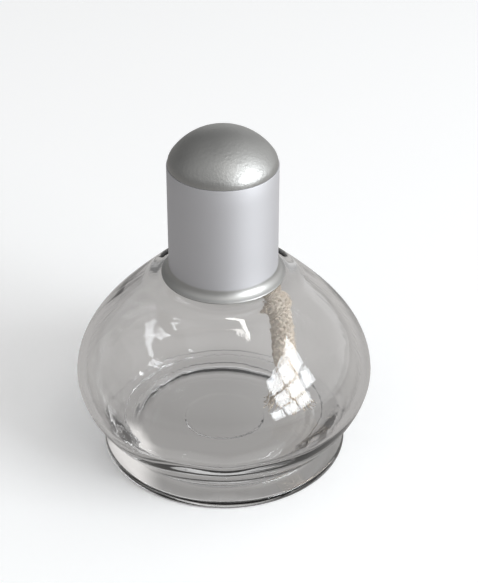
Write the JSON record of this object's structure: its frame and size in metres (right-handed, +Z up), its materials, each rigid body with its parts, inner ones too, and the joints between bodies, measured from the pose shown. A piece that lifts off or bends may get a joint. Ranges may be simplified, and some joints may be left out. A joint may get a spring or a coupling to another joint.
{
  "type": "oil lamp",
  "caption": "Round clear glass table oil lamp on a spreading foot, with a cotton wick and a domed brushed metal snuffer cap over the burner.",
  "frame": {"origin": "centre of the foot's underside, on the surface that the lamp stands on", "axes": "+Z up along the lamp's axis; +X towards the side that the wick leans to; -Y towards the viewer"},
  "size_m": [0.08, 0.08, 0.0954],
  "materials": {
    "clear_glass": "clear, fire polished, thick at the base",
    "gasket_rubber": "matt",
    "burner_metal": "plain pressed and turned",
    "wick_cotton": "braided unbleached cotton, frayed at the end",
    "brushed_sleeve": "fine brushed round the sleeve",
    "satin_dome": "satin, slightly pebbled"
  },
  "bodies": {
    "reservoir": {"glass_reservoir": "clear_glass"},
    "burner": {"neck_gasket": "gasket_rubber", "burner_spigot": "burner_metal", "burner_plate": "burner_metal", "wick_tube": "burner_metal", "tube_collar": "burner_metal", "wick": "wick_cotton"},
    "cap": {"cap_sleeve": "brushed_sleeve", "cap_dome": "satin_dome"}
  },
  "joints": [
    {"name": "burner_lift", "type": "slide", "parent": "reservoir", "child": "burner", "axis": [0, 0, 1], "range_m": [0, 0.072], "deforming": ["wick"]},
    {"name": "cap_lift", "type": "slide", "parent": "burner", "child": "cap", "axis": [0, 0, 1], "range_m": [0, 0.06]}
  ]
}
